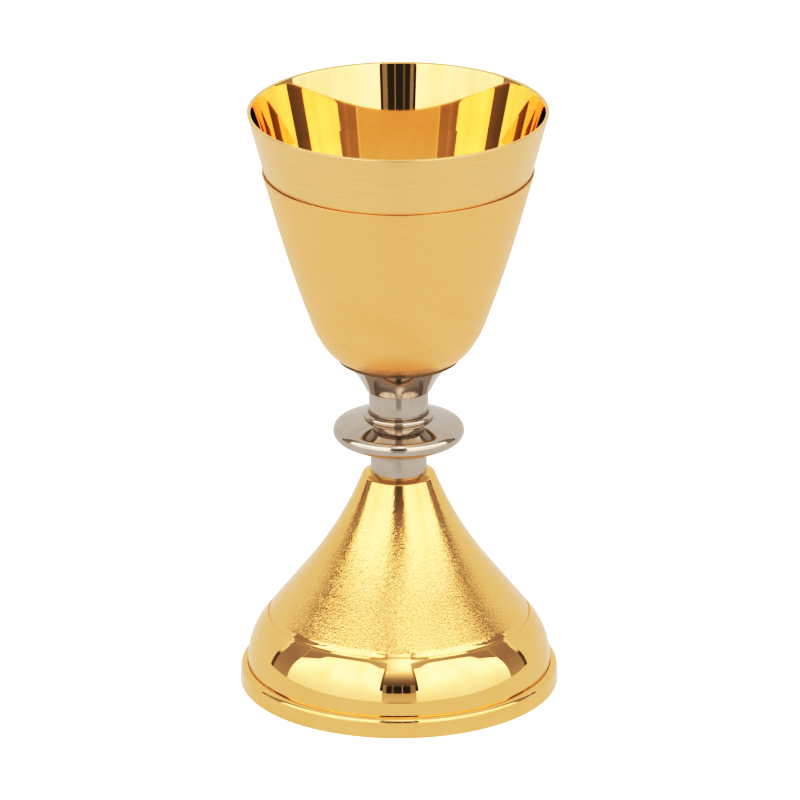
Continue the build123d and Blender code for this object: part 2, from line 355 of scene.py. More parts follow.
GILT: Colour = (0.98, 0.685, 0.35)
CUP_GILT: Colour = (0.98, 0.715, 0.385)
CUP_FLOOR_GILT: Colour = (0.98, 0.80, 0.55)
# Paler gilt painted on the calyx's top edge: painted light that tones down the orange of the crevice's
# reflections.
CREVICE_TINT_GILT: Colour = (0.86, 0.67, 0.42)
NICKEL: Colour = (0.66, 0.595, 0.53)
# Dark brass for the seat ring: painted shade that stands in for the shadow line between calyx and
# collar.
SEAT_SHADE_BRASS: Colour = (0.36, 0.24, 0.12)
RAW_BRASS: Colour = (0.80, 0.55, 0.25)
ZINC: Colour = (0.56, 0.57, 0.58)
SHEEN_TINT: Colour = (0.9, 0.88, 0.86)
SHEEN_ROUGHNESS = 0.35
RING_DEPTH = 2.2e-7


def tinted(colour: Colour, shares: Colour) -> Colour:
    """A colour with its channels scaled.

    Args:
        colour: The colour.
        shares: What is left of each channel.

    Returns:
        The scaled colour.
    """
    return tuple(channel * share for channel, share in zip(colour, shares))


class Finish:
    """A metal finish."""

    def dress(self, name: str) -> bpy.types.Material:
        """Builds the finish's material.

        Args:
            name: The material's name.

        Returns:
            The material.
        """
        shader = SurfaceShader(name)
        self.paint(shader)
        return shader.material

    def paint(self, shader: SurfaceShader) -> None:
        """Builds the finish's nodes, which each finish does in its own way."""
        raise NotImplementedError


@dataclass(frozen=True)
class MirrorGilt(Finish):
    """Polished gilding with the faint rings that spinning leaves."""

    colour: Colour = GILT
    roughness: float = 0.035
    deep_colour: Colour | None = None
    deep_below: float = 150 * MM
    deep_fade: float = 14 * MM

    def paint(self, shader: SurfaceShader) -> None:
        """Builds the finish's nodes.

        Args:
            shader: The material's shader.
        """
        haze = shader.haze
        deeper = tinted(self.colour, (0.985, 0.96, 0.90))
        tone = shader.blend(haze.above(0.5, 0.3), self.colour, deeper)
        if self.deep_colour:
            upper = shader.z.above(self.deep_below, self.deep_fade)
            tone = shader.blend(upper, self.deep_colour, tone)
        roughness = self.roughness + 0.03 * haze.above(0.62, 0.2)
        shader.metal(tone, roughness, shader.bump(shader.rings, RING_DEPTH))


@dataclass(frozen=True)
class BandGilt(Finish):
    """Gilding brushed level round the cup, with long fine lines."""

    colour: Colour = (0.96, 0.70, 0.40)
    roughness: float = 0.25
    line_depth: float = 1.6e-6
    bloom: float = 0.22

    def paint(self, shader: SurfaceShader) -> None:
        """Builds the finish's nodes.

        Args:
            shader: The material's shader.
        """
        lines = shader.noise(shader.around(5.0, 9000.0), 1.0, 3.0)
        broad = shader.noise(shader.around(2.2, 1400.0), 1.0, 3.0)
        worn = broad.above(0.5, 0.4) * 0.6 + lines.above(0.5, 0.3) * 0.4
        tone = shader.blend(worn, self.colour, tinted(self.colour, (0.975, 0.95, 0.91)))
        roughness = self.roughness + 0.05 * (broad - 0.5) + 0.06 * (lines - 0.5)
        shader.metal(tone, roughness, shader.bump(lines, self.line_depth), self.bloom)


@dataclass(frozen=True)
class SatinGilt(Finish):
    """Gilding scratch-brushed by hand: short fine strokes that slant round the cup."""

    colour: Colour = (0.97, 0.675, 0.365)
    roughness: float = 0.34
    stroke_depth: float = 1.7e-5
    slope: float = -0.4
    cross_slope: float = 0.14
    clouded_below: float = 128 * MM
    cloud_fade: float = 34 * MM
    crevice_tint_from: float = 156 * MM
    crevice_tint_blur: float = 0.15 * MM
    bloom: float = 0.25

    def paint(self, shader: SurfaceShader) -> None:
        """Builds the finish's nodes.

        Args:
            shader: The material's shader.
        """
        strokes = shader.noise(shader.slanted(330.0, 2700.0, self.slope), 1.0, 2.0)
        cross = shader.noise(shader.slanted(420.0, 2100.0, self.cross_slope), 1.0, 2.0)
        cloud = shader.noise(shader.slanted(40.0, 90.0, self.slope), 1.0, 3.0)
        height = strokes * 0.65 + cross * 0.35
        deeper = tinted(self.colour, (0.975, 0.94, 0.86))
        # Cloudy darker patches that fade in towards the bottom of the calyx.
        lower = 1 - shader.z.above(self.clouded_below, self.cloud_fade)
        low_cloud = cloud.above(0.55, 0.3) * lower
        worn = strokes.above(0.5, 0.3) * 0.45 + cross.above(0.5, 0.4) * 0.25 + low_cloud * 0.8
        # Painted light: the calyx's top edge gets a paler colour, which tones down the orange of the
        # crevice's reflections.
        edge = shader.z.above(self.crevice_tint_from, self.crevice_tint_blur)
        tone = shader.blend(edge, shader.blend(worn, self.colour, deeper), CREVICE_TINT_GILT)
        roughness = self.roughness + 0.12 * (strokes - 0.5) - 0.03 * low_cloud
        shader.metal(tone, roughness, shader.bump(height, self.stroke_depth), self.bloom)


@dataclass(frozen=True)
class BarkGilt(Finish):
    """The foot: bright bark texture on the cone, and mirror polish on the dome and the border."""

    cone_low: float
    cone_high: float
    colour: Colour = GILT
    roughness: float = 0.03
    depth: float = 7.0e-5
    border: float = 1.7 * MM
    ragged: float = 0.9 * MM
    slope: float = 0.45
    fade: float = 26.0 * MM
    fade_share: float = 0.82

    def paint(self, shader: SurfaceShader) -> None:
        """Builds the finish's nodes.

        Args:
            shader: The material's shader.
        """
        ragged = shader.noise(shader.place, 900.0, 2.0) * self.ragged
        textured = (shader.z + ragged).above(self.cone_low + self.border, self.ragged)
        strength = 1 - self.fade_share * shader.z.above(self.cone_high - self.fade / 2, self.fade)
        strokes = shader.noise(shader.slanted(1000.0, 2200.0, self.slope), 1.0, 1.0, 0.6)
        ridges = 1 - abs(strokes - 0.5) * 4.0
        grain = shader.noise(shader.place, 1500.0, 1.0, 1.2)
        height = (ridges * 0.5 + strokes * 0.5 + grain * 0.7) * textured * strength
        polish = shader.bump(shader.rings, RING_DEPTH)
        haze = shader.haze
        deeper = tinted(self.colour, (0.98, 0.95, 0.86))
        tone = shader.blend(haze.above(0.5, 0.3) * 0.5 + textured * 0.35, self.colour, deeper)
        roughness = self.roughness + 0.015 * textured + 0.02 * haze.above(0.6, 0.2)
        shader.metal(tone, roughness, shader.bump(height, self.depth, polish))


@dataclass(frozen=True)
class Nickel(Finish):
    """Nickel plating: polished, or satin with fine marks round the axis."""

    colour: Colour = NICKEL
    roughness: float = 0.07
    mark_depth: float = 6e-7

    def paint(self, shader: SurfaceShader) -> None:
        """Builds the finish's nodes.

        Args:
            shader: The material's shader.
        """
        marks = shader.noise(shader.around(2.0, 3600.0), 1.0, 3.0)
        stain = shader.noise(shader.place, 210.0, 4.0)
        warmer = tinted(self.colour, (0.97, 0.95, 0.91))
        tone = shader.blend(stain.above(0.52, 0.3), self.colour, warmer)
        roughness = self.roughness + 0.05 * stain.above(0.55, 0.25)
        shader.metal(tone, roughness, shader.bump(marks, self.mark_depth))


@dataclass(frozen=True)
class PlainMetal(Finish):
    """Turned brass or zinc-plated steel that nobody polished."""

    colour: Colour
    roughness: float = 0.34
    mark_depth: float = 4e-6
    dulling: float = 0.78

    def paint(self, shader: SurfaceShader) -> None:
        """Builds the finish's nodes.

        Args:
            shader: The material's shader.
        """
        marks = shader.noise(shader.around(2.0, 6000.0), 1.0, 3.0)
        bloom = shader.noise(shader.place, 420.0, 5.0)
        duller = tinted(self.colour, (self.dulling,) * 3)
        tone = shader.blend(bloom.above(0.52, 0.3), self.colour, duller)
        roughness = self.roughness + 0.2 * (bloom - 0.5)
        shader.metal(tone, roughness, shader.bump(marks, self.mark_depth))


# ---- Outlines and edit-mode work ------------------------------------------------------------
@dataclass(frozen=True)
class Run:
    """A straight stretch of an outline, of a given length."""

    length: float


@dataclass(frozen=True)
class Rise:
    """A straight stretch of an outline, up or down to a given height."""

    height: float


@dataclass(frozen=True)
class Arc:
    """A tangent arc of an outline, until it leans by the given angle."""

    radius: float
    lean: float


Step = Run | Rise | Arc


def shifted(point: Point, lean: float, distance: float) -> Point:
    """Moves a point towards the axis, square to a lean.

    Args:
        point: The point.
        lean: The lean from the axis, in degrees.
        distance: How far it moves.

    Returns:
        The moved point.
    """
    return point[0] - distance * cos(radians(lean)), point[1] + distance * sin(radians(lean))


@dataclass
class Outline:
    """A (radius, height) outline in millimetres, walked by steps that lean from the axis."""

    points: list[Point]
    lean: float = 0.0
    facet_turn: float = 2.5
    facet_length: float = 1.2

    def follow(self, *steps: Step, inset: float = 0.0) -> "Outline":
        """Walks steps, for an outline that lies inset from the one that they describe.

        Args:
            steps: The steps.
            inset: How far towards the axis the outline lies.

        Returns:
            The outline.
        """
        for step in steps:
            if isinstance(step, Arc):
                side = 1 if step.lean < self.lean else -1
                self._turn(side * (step.radius - side * inset), step.lean)
            elif isinstance(step, Rise):
                self._run((step.height - self.points[-1][1]) / cos(radians(self.lean)))
            else:
                self._run(step.length)
        return self

    def _run(self, length: float) -> None:
        """Adds a straight stretch, in short pieces that keep its reflections true.

        Args:
            length: Its length.
        """
        radius, height = self.points[-1]
        across, up = sin(radians(self.lean)), cos(radians(self.lean))
        count = max(1, round(abs(length) / self.facet_length))
        for number in range(1, count + 1):
            along = length * number / count
            self.points.append((radius + across * along, height + up * along))

    def _turn(self, radius: float, lean: float) -> None:
        """Adds an arc.

        Args:
            radius: Its radius, negative where it turns away from the axis.
            lean: The lean at its end.
        """
        middle = shifted(self.points[-1], self.lean, radius)
        count = max(4, round(abs(lean - self.lean) / self.facet_turn))
        for number in range(1, count + 1):
            angle = radians(self.lean + (lean - self.lean) * number / count)
            self.points.append((middle[0] + radius * cos(angle), middle[1] - radius * sin(angle)))
        self.lean = lean


def shell(start: Point, lean: float, steps: Sequence[Step], wall: float) -> list[Point]:
    """Outline of a shell: up its outside, and down its inside.

    Args:
        start: Where its outside starts.
        lean: The lean there.
        steps: The steps of its outside.
        wall: Its thickness.

    Returns:
        The closed outline's points.
    """
    outside = Outline([start], lean).follow(*steps).points
    inside = Outline([shifted(start, lean, wall)], lean).follow(*steps, inset=wall).points
    return [*outside, *reversed(inside)]


def eased(points: Sequence[Point], sizes: dict[int, float], count: int = 6) -> list[Point]:
    """Rounds corners of a closed outline.

    Args:
        points: The outline's points.
        sizes: How far each rounding reaches from its corner, by the corner's number.
        count: Facets of each rounding.

    Returns:
        The points with those corners rounded.
    """
    made: list[Point] = []
    for number, point in enumerate(points):
        if number not in sizes:
            made.append(point)
            continue
        here = Vector(point)
        before, after = Vector(points[number - 1]), Vector(points[(number + 1) % len(points)])
        start = here + (before - here).normalized() * sizes[number]
        end = here + (after - here).normalized() * sizes[number]
        for share in (step / count for step in range(count + 1)):
            first, second = start.lerp(here, share), here.lerp(end, share)
            made.append(tuple(first.lerp(second, share)))
    return made


def lone(obj: bpy.types.Object) -> None:
    """Makes one object the only selected and the active one.

    Args:
        obj: The object.
    """
    bpy.ops.object.select_all(action="DESELECT")
    obj.select_set(True)
    bpy.context.view_layer.objects.active = obj


def drawn(name: str, points: Sequence[Point]) -> bpy.types.Object:
    """Draws an outline as edges, extruded from point to point.

    Args:
        name: The piece's name.
        points: The outline, in millimetres.

    Returns:
        The outline's object.
    """
    bpy.ops.object.select_all(action="DESELECT")
    bpy.ops.mesh.primitive_plane_add(size=MM, location=(0.0, 0.0, 0.0))
    piece = bpy.context.active_object
    piece.name = piece.data.name = name
    bpy.ops.object.mode_set(mode="EDIT")
    bpy.ops.mesh.select_all(action="SELECT")
    bpy.ops.mesh.merge(type="CENTER")
    here = Vector((0.0, 0.0, 0.0))
    for number, (radius, height) in enumerate(points):
        place = Vector((radius * MM, 0.0, height * MM))
        if number:
            bpy.ops.mesh.extrude_region_move(TRANSFORM_OT_translate={"value": place - here})
        else:
            bpy.ops.mesh.select_all(action="SELECT")
            bpy.ops.transform.translate(value=place)
        here = place
    bpy.ops.object.mode_set(mode="OBJECT")
    return piece


def spun(
    name: str, points: Sequence[Point], closed: bool = True, steps: int = 256
) -> bpy.types.Object:
    """Spins an outline about the axis.

    Args:
        name: The piece's name.
        points: The outline, in millimetres.
        closed: Whether the last point joins the first.
        steps: Segments round the axis.

    Returns:
        The piece, with its faces outwards.
    """
    piece = drawn(name, [*points, points[0]] if closed else points)
    bpy.ops.object.mode_set(mode="EDIT")
    bpy.ops.mesh.select_all(action="SELECT")
    bpy.ops.mesh.remove_doubles(threshold=1e-7)
    bpy.ops.mesh.select_all(action="SELECT")
    bpy.ops.mesh.spin(steps=steps, angle=2 * pi, center=(0.0, 0.0, 0.0), axis=(0.0, 0.0, 1.0))
    bpy.ops.mesh.select_all(action="SELECT")
    bpy.ops.mesh.remove_doubles(threshold=1e-6)
    bpy.ops.mesh.normals_make_consistent(inside=False)
    bpy.ops.object.mode_set(mode="OBJECT")
    return piece


def smoothed(piece: bpy.types.Object, angle: float = 28.0) -> bpy.types.Object:
    """Shades a piece smooth, apart from its edges.

    Args:
        piece: The piece.
        angle: The angle past which an edge stays sharp, in degrees.

    Returns:
        The piece.
    """
    lone(piece)
    bpy.ops.object.shade_smooth_by_angle(angle=radians(angle))
    return piece


def placed(piece: bpy.types.Object, slot: Slot, *nodes: str) -> bpy.types.Object:
    """Hangs a finished piece on the frame.

    Args:
        piece: The piece.
        slot: The record's slot that its finish is from. Not used.
        nodes: The frame's nodes that it stands for.

    Returns:
        The piece.
    """
    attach(piece, "root")
    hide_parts(*nodes)
    faces = len(piece.data.polygons)
    LOG.info("%s stands for %s with %d faces", piece.name, ", ".join(nodes), faces)
    return piece


def low(node: str) -> float:
    """Height of a node's underside, in millimetres."""
    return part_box(node)[0].z / MM


def high(node: str) -> float:
    """Height of a node's top, in millimetres."""
    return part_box(node)[1].z / MM


def reach(node: str) -> float:
    """Outer radius of a node, in millimetres."""
    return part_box(node)[1].x / MM


# Each piece of a sub-assembly, with its slot and the nodes that it stands for.
Built = list[tuple[bpy.types.Object, Slot, tuple[str, ...]]]


# ---- Foot -----------------------------------------------------------------------------------
@dataclass
class Foot:
    """The spun foot, standing in its base ring."""

    wall: float = 1.0
    dome_spring: float = 6.4
    dome_curve: float = 20.7
    dome_lean: float = 38.3
    dome_run: float = 2.5
    line_width: float = 0.6
    line_depth: float = 0.3
    line_ease: float = 0.1
    cone_curve: float = 114.0
    cone_top_lean: float = 21.3
    cone_top_radius: float = 10.65
    shoulder: float = 0.9
    top_tilt: float = 70.8
    top_chamfer: float = 1.75
    hole: float = 6.1
    ring_seat: float = 2.32
    ring_draft: float = 3.0
    ring_shoulder: float = 1.7
    ring_toe: float = 0.45
    ring_rebate: float = 0.08

    def __post_init__(self) -> None:
        """Takes the driving places from the frame."""
        self.dome_radius = reach("foot")
        self.edge = low("foot")
        self.top = high("foot")
        curve = Arc(self.dome_curve, -self.dome_lean)
        self.dome = (Rise(self.dome_spring), curve, Run(self.dome_run))
        self.line = Outline([(self.dome_radius, self.edge)]).follow(*self.dome).points[-1]
        lean = radians(self.dome_lean)
        inwards, upwards = self.line_width * sin(lean), self.line_width * cos(lean)
        self.cone_start = (self.line[0] - inwards, self.line[1] + upwards)
        curve_width = self.cone_curve * (cos(radians(self.cone_top_lean)) - cos(lean))
        run = (self.cone_start[0] - curve_width - self.cone_top_radius) / sin(lean)
        self.flank = (Run(run), Arc(self.cone_curve, -self.cone_top_lean))

    def foot(self) -> bpy.types.Object:
        """Spins the shell: dome, turned line, flank, shoulder and holed top.

        Returns:
            The piece.
        """
        lean = -self.dome_lean
        outside = Outline([(self.dome_radius, self.edge)]).follow(*self.dome).points
        floor = [shifted(point, lean, self.line_depth) for point in (self.line, self.cone_start)]
        end = (Arc(self.shoulder, -self.top_tilt), Run(self.top_chamfer))
        flank = Outline([self.cone_start], lean).follow(*self.flank, *end).points
        inner_start = (self.dome_radius - self.wall, self.edge)
        inner = Outline([inner_start]).follow(*self.dome, Run(self.line_width), inset=self.wall)
        inner.follow(*self.flank, Rise(self.top - self.wall), inset=self.wall)
        top = [(flank[-1][0], self.top), (self.hole, self.top), (self.hole, self.top - self.wall)]
        lips = {len(outside) - 1: self.line_ease, len(outside) + 2: self.line_ease}
        corner = len(outside) + 2 + len(flank) - 1
        points = [*outside, *floor, *flank[:-1], *top, *reversed(inner.points)]
        return smoothed(spun("foot_shell", eased(points, {**lips, corner: 0.25})))

    def base_ring(self) -> bpy.types.Object:
        """Spins the plinth: toe, drafted wall, rounded shoulder and the rebate for the foot.

        Returns:
            The piece.
        """
        radius, top = reach("base_ring"), high("base_ring")
        inner, rebate = self.dome_radius - self.ring_seat, self.dome_radius + self.ring_rebate
        rise = self.ring_shoulder * (1 - sin(radians(self.ring_draft)))
        outer = Outline([(radius - self.ring_toe, 0.0)], 90.0)
        outer.follow(Arc(self.ring_toe, -self.ring_draft), Rise(top - rise))
        outer.follow(Arc(self.ring_shoulder, -90.0))
        inside = [(rebate, top), (rebate, self.edge), (inner, self.edge), (inner, 0.0)]
        points = [*outer.points, *inside]
        last = len(points) - 1
        return smoothed(spun("plinth_ring", eased(points, {last: 0.3, last - 1: 0.2})))

    def build(self) -> Built:
        """Builds both pieces."""
        return [
            (self.foot(), Slot.BARK_GILT, ("foot",)),
            (self.base_ring(), Slot.MIRROR_GILT, ("base_ring",)),
        ]


# ---- Stem -----------------------------------------------------------------------------------
@dataclass
class Stem:
    """The turned nickel pieces between the foot and the cup."""

    passage: float = 4.4
    spigot: float = 6.0
    spigot_length: float = 0.7
    clearance: float = 0.1
    foot_edge: float = 0.15
    sleeve_edge: float = 0.12
    neck_edge: float = 0.25
    knop_rim: float = 2.5
    knop_rim_height: float = 6.8
    knop_crest_lean: float = -68.0
    knop_under_lean: float = 64.7
    knop_swell: float = 0.2
    hub_below: float = 9.0
    hub_above: float = 8.45
    bead_radius: float = 10.15
    bead: float = 0.95
    bead_height: float = 11.8
    bead_root: float = 43.0
    bead_facets: int = 20
    slope_facets: int = 14
    collar_foot: float = 9.5
    collar_lean: float = 24.4
    collar_curve: float = 31.5
    collar_floor: float = 2.0
    collar_lip: float = 0.6
    boss_bore: float = 8.1

    def _below(self, base: float) -> list[Point]:
        """The passage and spigot at a piece's lower end.

        Args:
            base: Height of the face that the piece stands on.

        Returns:
            The outline's points, outwards.
        """
        tip = base - self.spigot_length
        return [(self.passage, tip), (self.spigot, tip), (self.spigot, base)]

    def _above(self, top: float) -> list[Point]:
        """The socket in a piece's upper end.

        Args:
            top: Height of the piece's upper face.

        Returns:
            The outline's points, inwards.
        """
        socket, floor = self.spigot + self.clearance, top - self.spigot_length - self.clearance
        return [(socket, top), (socket, floor), (self.passage, floor)]

    def cylinder(self, name: str, node: str, edge: float) -> bpy.types.Object:
        """Spins a plain cylinder with a spigot and a socket.

        Args:
            name: The piece's name.
            node: The node that it stands for.
            edge: Rounding of its two outer edges.

        Returns:
            The piece.
        """
        radius, base, top = reach(node), low(node) + self.spigot_length, high(node)
        points = [*self._below(base), (radius, base), (radius, top), *self._above(top)]
        return smoothed(spun(name, eased(points, {3: edge, 4: edge})))

    def knop(self) -> bpy.types.Object:
        """Spins the disc: straight underside, rolled rim, sloping top and the bead round its hub.

        Returns:
            The piece.
        """
        radius, base, top = reach("knop"), low("knop") + self.spigot_length, high("knop")
        rim_middle = (radius - self.knop_rim, base + self.knop_rim_height)
        under_end = shifted(rim_middle, self.knop_under_lean, -self.knop_rim)
        length = (under_end[0] - self.hub_below) / sin(radians(self.knop_under_lean))
        under_start = (self.hub_below, under_end[1] - length * cos(radians(self.knop_under_lean)))
        rim = Outline([under_start], self.knop_under_lean, facet_turn=4.0)
        rim.follow(Run(length), Arc(self.knop_rim, self.knop_crest_lean))
        middle = Vector((self.bead_radius - self.bead, base + self.bead_height))
        crown = 90 + degrees(asin((middle.x - self.hub_above) / self.bead))
        sweep, count = crown + self.bead_root, self.bead_facets
        turns = [radians(sweep * step / count - self.bead_root) for step in range(count + 1)]
        bead = [tuple(middle + Vector((cos(turn), sin(turn))) * self.bead) for turn in turns]
        crest, root = Vector(rim.points[-1]), Vector(bead[0])
        across = root - crest
        swell = Vector((across.y, -across.x)).normalized() * self.knop_swell
        shares = [step / self.slope_facets for step in range(1, self.slope_facets)]
        bulges = [swell * 4 * share * (1 - share) for share in shares]
        slope = [tuple(crest.lerp(root, share) + bulge) for share, bulge in zip(shares, bulges)]
        hub = [(self.hub_below, base), *rim.points, *slope, *bead, (self.hub_above, top)]
        points = [*self._below(base), *hub, *self._above(top)]
        return smoothed(spun("knop_disc", eased(points, {3: self.foot_edge})))

    def collar(self) -> bpy.types.Object:
        """Spins the flare, bored from above for the boss.

        Returns:
            The piece.
        """
        base, top = low("collar") + self.spigot_length, high("collar")
        rise = top - base - self.collar_lip
        end_lean = degrees(asin(sin(radians(self.collar_lean)) + rise / self.collar_curve))
        flare = Outline([(self.collar_foot, base)], self.collar_lean, facet_turn=1.2)
        flare.follow(Arc(self.collar_curve, end_lean))
        lip = [(flare.points[-1][0], top), (self.boss_bore, top)]
        seat = base + self.collar_floor
        floor = [(self.boss_bore, seat), (self.passage, seat)]
        points = [*self._below(base), *flare.points, *lip, *floor]
        corners = {3: self.foot_edge, 3 + len(flare.points): self.foot_edge}
        return smoothed(spun("collar_flare", eased(points, corners)))

    def build(self) -> Built:
        """Builds the four pieces."""
        sleeve = self.cylinder("stem_sleeve", "lower_sleeve", self.sleeve_edge)
        neck = self.cylinder("stem_neck", "neck_ring", self.neck_edge)
        return [
            (sleeve, Slot.NICKEL_SATIN, ("lower_sleeve",)),
            (self.knop(), Slot.NICKEL_POLISH, ("knop",)),
            (neck, Slot.NICKEL_POLISH, ("neck_ring",)),
            (self.collar(), Slot.NICKEL_POLISH, ("collar",)),
        ]


# ---- Bowl -----------------------------------------------------------------------------------
@dataclass
class Bowl:
    """The double-walled bowl: cup, calyx, seat ring and the boss between them."""

    bottom: float = 18.06
    calyx_wall: float = 0.55
    calyx_edge: float = 0.15
    cup_wall: float = 0.9
    gap: float = 0.08
    heel_lean: float = 55.6
    heel: Arc = Arc(13.2, 35.4)
    turn: Arc = Arc(31.8, 20.1)
    side: Arc = Arc(392.0, 15.3)
    band_lean: float = 14.9
    mouth_lean: float = 14.3
    mouth_depth: float = 18.0
    lip: float = 0.4
    ring_edge: float = 0.4
    bore: float = 8.1
    boss: float = 8.0
    thread_bore: float = 4.05
    boss_roof: float = 2.0

    def __post_init__(self) -> None:
        """Takes the driving places from the frame."""
        self.base = low("calyx")
        self.calyx_top = high("calyx")
        self.start = (self.bottom, self.base)
        self.body = (self.heel, self.turn, self.side, Rise(self.calyx_top))

    def calyx(self) -> bpy.types.Object:
        """Spins the thin outer shell.

        Returns:
            The piece.
        """
        walls = shell(self.start, self.heel_lean, self.body, self.calyx_wall)
        half = len(walls) // 2
        points = [*walls, (self.bore, low("cup")), (self.bore, self.base)]
        corners = {half - 1: self.calyx_edge, half: self.calyx_edge, 0: 0.1}
        return smoothed(spun("calyx_shell", eased(points, corners)))

    def _cup_wall(self, inset: float, thickened: bool) -> list[Point]:
        """One side of the cup's wall.

        Args:
            inset: How far it lies inside the calyx's outside.
            thickened: Whether it steepens towards the mouth, which thickens the lip.

        Returns:
            Its points, upwards.
        """
        wall = Outline([shifted(self.start, self.heel_lean, inset)], self.heel_lean)
        wall.follow(*self.body, inset=inset)
        wall.lean = self.band_lean
        if thickened:
            wall.follow(Rise(high("cup") - self.mouth_depth))
            wall.lean = self.mouth_lean
        return wall.follow(Rise(high("cup"))).points

    def cup(self) -> bpy.types.Object:
        """Spins the cup: it follows the calyx from inside and rises above it as the band.

        Returns:
            The piece.
        """
        inset = self.calyx_wall + self.gap
        outside = self._cup_wall(inset, thickened=False)
        inside = self._cup_wall(inset + self.cup_wall, thickened=True)
        points = [(0.0, low("cup")), *outside, *reversed(inside), (0.0, inside[0][1])]
        rim = len(outside)
        corners = {rim: self.lip, rim + 1: self.lip}
        return smoothed(spun("cup_bowl", eased(points, corners), closed=False))

    def seat_ring(self) -> bpy.types.Object:
        """Spins the thin ring under the calyx.

        Returns:
            The piece.
        """
        radius, base, top = reach("seat_ring"), low("seat_ring"), high("seat_ring")
        points = [(self.bore, base), (radius, base), (radius, top), (self.bore, top)]
        corners = {1: self.ring_edge, 2: self.ring_edge}
        return smoothed(spun("seat_ring_disc", eased(points, corners)))

    def cup_boss(self) -> bpy.types.Object:
        """Spins the boss with its blind hole and its broken edges.

        Returns:
            The piece.
        """
        base, top = low("cup_boss"), high("cup_boss")
        roof = top - self.boss_roof
        hole = [(self.thread_bore, base), (self.thread_bore, roof), (0.0, roof)]
        points = [(0.0, top), (self.boss, top), (self.boss, base), *hole]
        chamfered = eased(points, {2: 0.5, 3: 0.4}, count=1)
        return smoothed(spun("cup_boss_brass", chamfered, closed=False))

    def build(self) -> Built:
        """Builds the four pieces."""
        return [
            (self.cup(), Slot.MIRROR_GILT, ("cup",)),
            (self.calyx(), Slot.SATIN_GILT, ("calyx",)),
            (self.seat_ring(), Slot.MIRROR_GILT, ("seat_ring",)),
            (self.cup_boss(), Slot.RAW_BRASS, ("cup_boss",)),
        ]


# ---- Fastening ------------------------------------------------------------------------------
def boolean(piece: bpy.types.Object, other: bpy.types.Object, operation: str) -> bpy.types.Object:
    """Cuts one solid with another, and removes the other.

    Args:
        piece: The solid that stays.
        other: The solid that cuts it.
        operation: INTERSECT or DIFFERENCE.

    Returns:
        The cut piece.
    """
    modifier = piece.modifiers.new("cut", "BOOLEAN")
    modifier.operation = operation
    modifier.solver = "EXACT"
    modifier.object = other
    lone(piece)
    bpy.ops.object.modifier_apply(modifier=modifier.name)
    bpy.data.objects.remove(other)
    return piece


